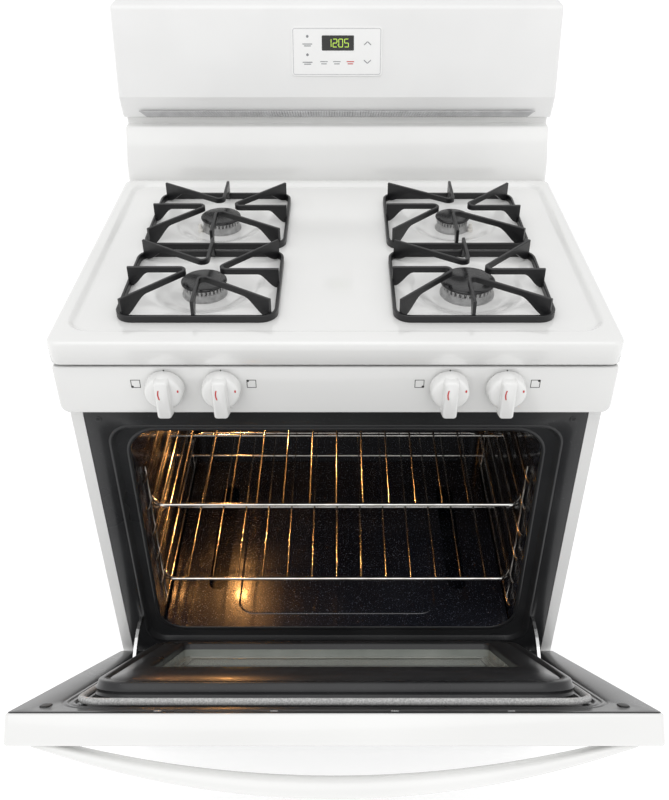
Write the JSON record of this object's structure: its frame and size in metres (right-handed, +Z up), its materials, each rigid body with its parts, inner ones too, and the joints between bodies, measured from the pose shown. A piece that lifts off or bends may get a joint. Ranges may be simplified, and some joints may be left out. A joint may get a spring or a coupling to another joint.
{
  "type": "freestanding gas range",
  "caption": "White freestanding gas range with gas burners under grates, a drop-down oven door, pull-out racks, a storage drawer and a rear control console.",
  "frame": {"origin": "on the floor under the middle of the whole range's box, with the door half open", "axes": "+Z up, +X to the right as seen from the front, -Y towards the person at the front"},
  "size_m": [0.7588, 1.0784, 1.195],
  "materials": {
    "white_enamel": "gloss white porcelain enamel",
    "white_painted_steel": "semi-gloss white paint",
    "white_console_plastic": "semi-gloss white moulding",
    "handle_plastic": "gloss white moulding",
    "knob_plastic": "gloss white moulding",
    "keypad_film": "satin membrane film",
    "display_window": "black window with pale green digits",
    "galvanised_steel": "zinc-coated sheet",
    "leg_steel": "plated",
    "dark_enamel": "gloss charcoal porcelain enamel",
    "cavity_enamel": "gloss dark porcelain enamel with fine speckle",
    "insulation_wool": "glass wool",
    "rack_chrome": "bright plated wire",
    "burner_tube_steel": "satin",
    "lamp_glass": "clear dome, warm when lit",
    "sensor_steel": "satin",
    "burner_aluminium": "cast, matt",
    "cap_enamel": "satin black porcelain enamel",
    "grate_enamel": "satin black porcelain enamel",
    "brass": "turned",
    "inner_glass": "tempered pane",
    "outer_glass": "dark printed pane",
    "woven_gasket": "woven glass-fibre tube",
    "hinge_steel": "plated",
    "inlet_plastic": "moulded"
  },
  "bodies": {
    "range_body": {"cooktop": "white_enamel", "knob_panel": "white_enamel", "backguard_riser": "white_enamel", "side_panel_left": "white_painted_steel", "side_panel_right": "white_painted_steel", "console_shell": "white_console_plastic", "keypad": "keypad_film", "display": "display_window", "rear_panel": "galvanised_steel", "base_pan": "galvanised_steel", "hinge_bracket_left": "galvanised_steel", "hinge_bracket_right": "galvanised_steel", "levelling_leg_front_left": "leg_steel", "levelling_leg_front_right": "leg_steel", "levelling_leg_rear_left": "leg_steel", "levelling_leg_rear_right": "leg_steel", "front_frame": "dark_enamel", "oven_liner": "cavity_enamel", "oven_floor": "cavity_enamel", "oven_insulation": "insulation_wool", "rack_support_left": "rack_chrome", "rack_support_right": "rack_chrome", "bake_burner": "burner_tube_steel", "broil_burner": "burner_tube_steel", "oven_lamp": "lamp_glass", "temperature_sensor": "sensor_steel", "burner_head_front_left": "burner_aluminium", "burner_head_front_right": "burner_aluminium", "burner_head_rear_left": "burner_aluminium", "burner_head_rear_right": "burner_aluminium", "gas_manifold": "brass", "cord_inlet": "inlet_plastic"},
    "door": {"door_skin": "white_enamel", "door_inner_panel": "dark_enamel", "door_glass_inner": "inner_glass", "door_glass_outer": "outer_glass", "door_gasket": "woven_gasket", "door_handle": "handle_plastic", "door_hinge_arm_left": "hinge_steel", "door_hinge_arm_right": "hinge_steel"},
    "drawer": {"drawer_front": "white_enamel", "drawer_box": "galvanised_steel"},
    "rack_upper": {"rack_upper": "rack_chrome"},
    "rack_lower": {"rack_lower": "rack_chrome"},
    "stem_1": {"valve_stem_1": "brass"},
    "knob_1": {"knob_1": "knob_plastic"},
    "stem_2": {"valve_stem_2": "brass"},
    "knob_2": {"knob_2": "knob_plastic"},
    "stem_3": {"valve_stem_3": "brass"},
    "knob_3": {"knob_3": "knob_plastic"},
    "stem_4": {"valve_stem_4": "brass"},
    "knob_4": {"knob_4": "knob_plastic"},
    "grate_front_left": {"grate_front_left": "grate_enamel"},
    "burner_cap_front_left": {"burner_cap_front_left": "cap_enamel"},
    "grate_front_right": {"grate_front_right": "grate_enamel"},
    "burner_cap_front_right": {"burner_cap_front_right": "cap_enamel"},
    "grate_rear_left": {"grate_rear_left": "grate_enamel"},
    "burner_cap_rear_left": {"burner_cap_rear_left": "cap_enamel"},
    "grate_rear_right": {"grate_rear_right": "grate_enamel"},
    "burner_cap_rear_right": {"burner_cap_rear_right": "cap_enamel"}
  },
  "joints": [
    {"name": "door_hinge", "type": "hinge", "parent": "range_body", "child": "door", "pos_m": [0, -0.1073, 0.2527], "axis": [1, 0, 0], "range_deg": [-45.58, 44.42], "stiffness_Nm_per_rad": 16, "springref_deg": -64.46},
    {"name": "drawer_slide", "type": "slide", "parent": "range_body", "child": "drawer", "axis": [0, -1, 0], "range_m": [0, 0.35]},
    {"name": "rack_upper_slide", "type": "slide", "parent": "range_body", "child": "rack_upper", "axis": [0, -1, 0], "range_m": [0, 0.26]},
    {"name": "rack_lower_slide", "type": "slide", "parent": "range_body", "child": "rack_lower", "axis": [0, -1, 0], "range_m": [0, 0.12]},
    {"name": "knob_1_push", "type": "slide", "parent": "range_body", "child": "stem_1", "axis": [0, 1, 0], "range_m": [0, 0.0025], "stiffness_N_per_m": 1500, "springref_m": -0.002},
    {"name": "knob_1_turn", "type": "hinge", "parent": "stem_1", "child": "knob_1", "pos_m": [-0.229, -0.11178, 0.8433], "axis": [0, -1, 0], "range_deg": [0, 270]},
    {"name": "knob_2_push", "type": "slide", "parent": "range_body", "child": "stem_2", "axis": [0, 1, 0], "range_m": [0, 0.0025], "stiffness_N_per_m": 1500, "springref_m": -0.002},
    {"name": "knob_2_turn", "type": "hinge", "parent": "stem_2", "child": "knob_2", "pos_m": [-0.153, -0.11178, 0.8433], "axis": [0, -1, 0], "range_deg": [0, 270]},
    {"name": "knob_3_push", "type": "slide", "parent": "range_body", "child": "stem_3", "axis": [0, 1, 0], "range_m": [0, 0.0025], "stiffness_N_per_m": 1500, "springref_m": -0.002},
    {"name": "knob_3_turn", "type": "hinge", "parent": "stem_3", "child": "knob_3", "pos_m": [0.153, -0.11178, 0.8433], "axis": [0, -1, 0], "range_deg": [0, 270]},
    {"name": "knob_4_push", "type": "slide", "parent": "range_body", "child": "stem_4", "axis": [0, 1, 0], "range_m": [0, 0.0025], "stiffness_N_per_m": 1500, "springref_m": -0.002},
    {"name": "knob_4_turn", "type": "hinge", "parent": "stem_4", "child": "knob_4", "pos_m": [0.229, -0.11178, 0.8433], "axis": [0, -1, 0], "range_deg": [0, 270]},
    {"name": "grate_front_left_lift", "type": "slide", "parent": "range_body", "child": "grate_front_left", "axis": [0, 0, 1], "range_m": [0, 0.1]},
    {"name": "burner_cap_front_left_lift", "type": "slide", "parent": "range_body", "child": "burner_cap_front_left", "axis": [0, 0, 1], "range_m": [0, 0.006]},
    {"name": "grate_front_right_lift", "type": "slide", "parent": "range_body", "child": "grate_front_right", "axis": [0, 0, 1], "range_m": [0, 0.1]},
    {"name": "burner_cap_front_right_lift", "type": "slide", "parent": "range_body", "child": "burner_cap_front_right", "axis": [0, 0, 1], "range_m": [0, 0.006]},
    {"name": "grate_rear_left_lift", "type": "slide", "parent": "range_body", "child": "grate_rear_left", "axis": [0, 0, 1], "range_m": [0, 0.1]},
    {"name": "burner_cap_rear_left_lift", "type": "slide", "parent": "range_body", "child": "burner_cap_rear_left", "axis": [0, 0, 1], "range_m": [0, 0.006]},
    {"name": "grate_rear_right_lift", "type": "slide", "parent": "range_body", "child": "grate_rear_right", "axis": [0, 0, 1], "range_m": [0, 0.1]},
    {"name": "burner_cap_rear_right_lift", "type": "slide", "parent": "range_body", "child": "burner_cap_rear_right", "axis": [0, 0, 1], "range_m": [0, 0.006]}
  ]
}
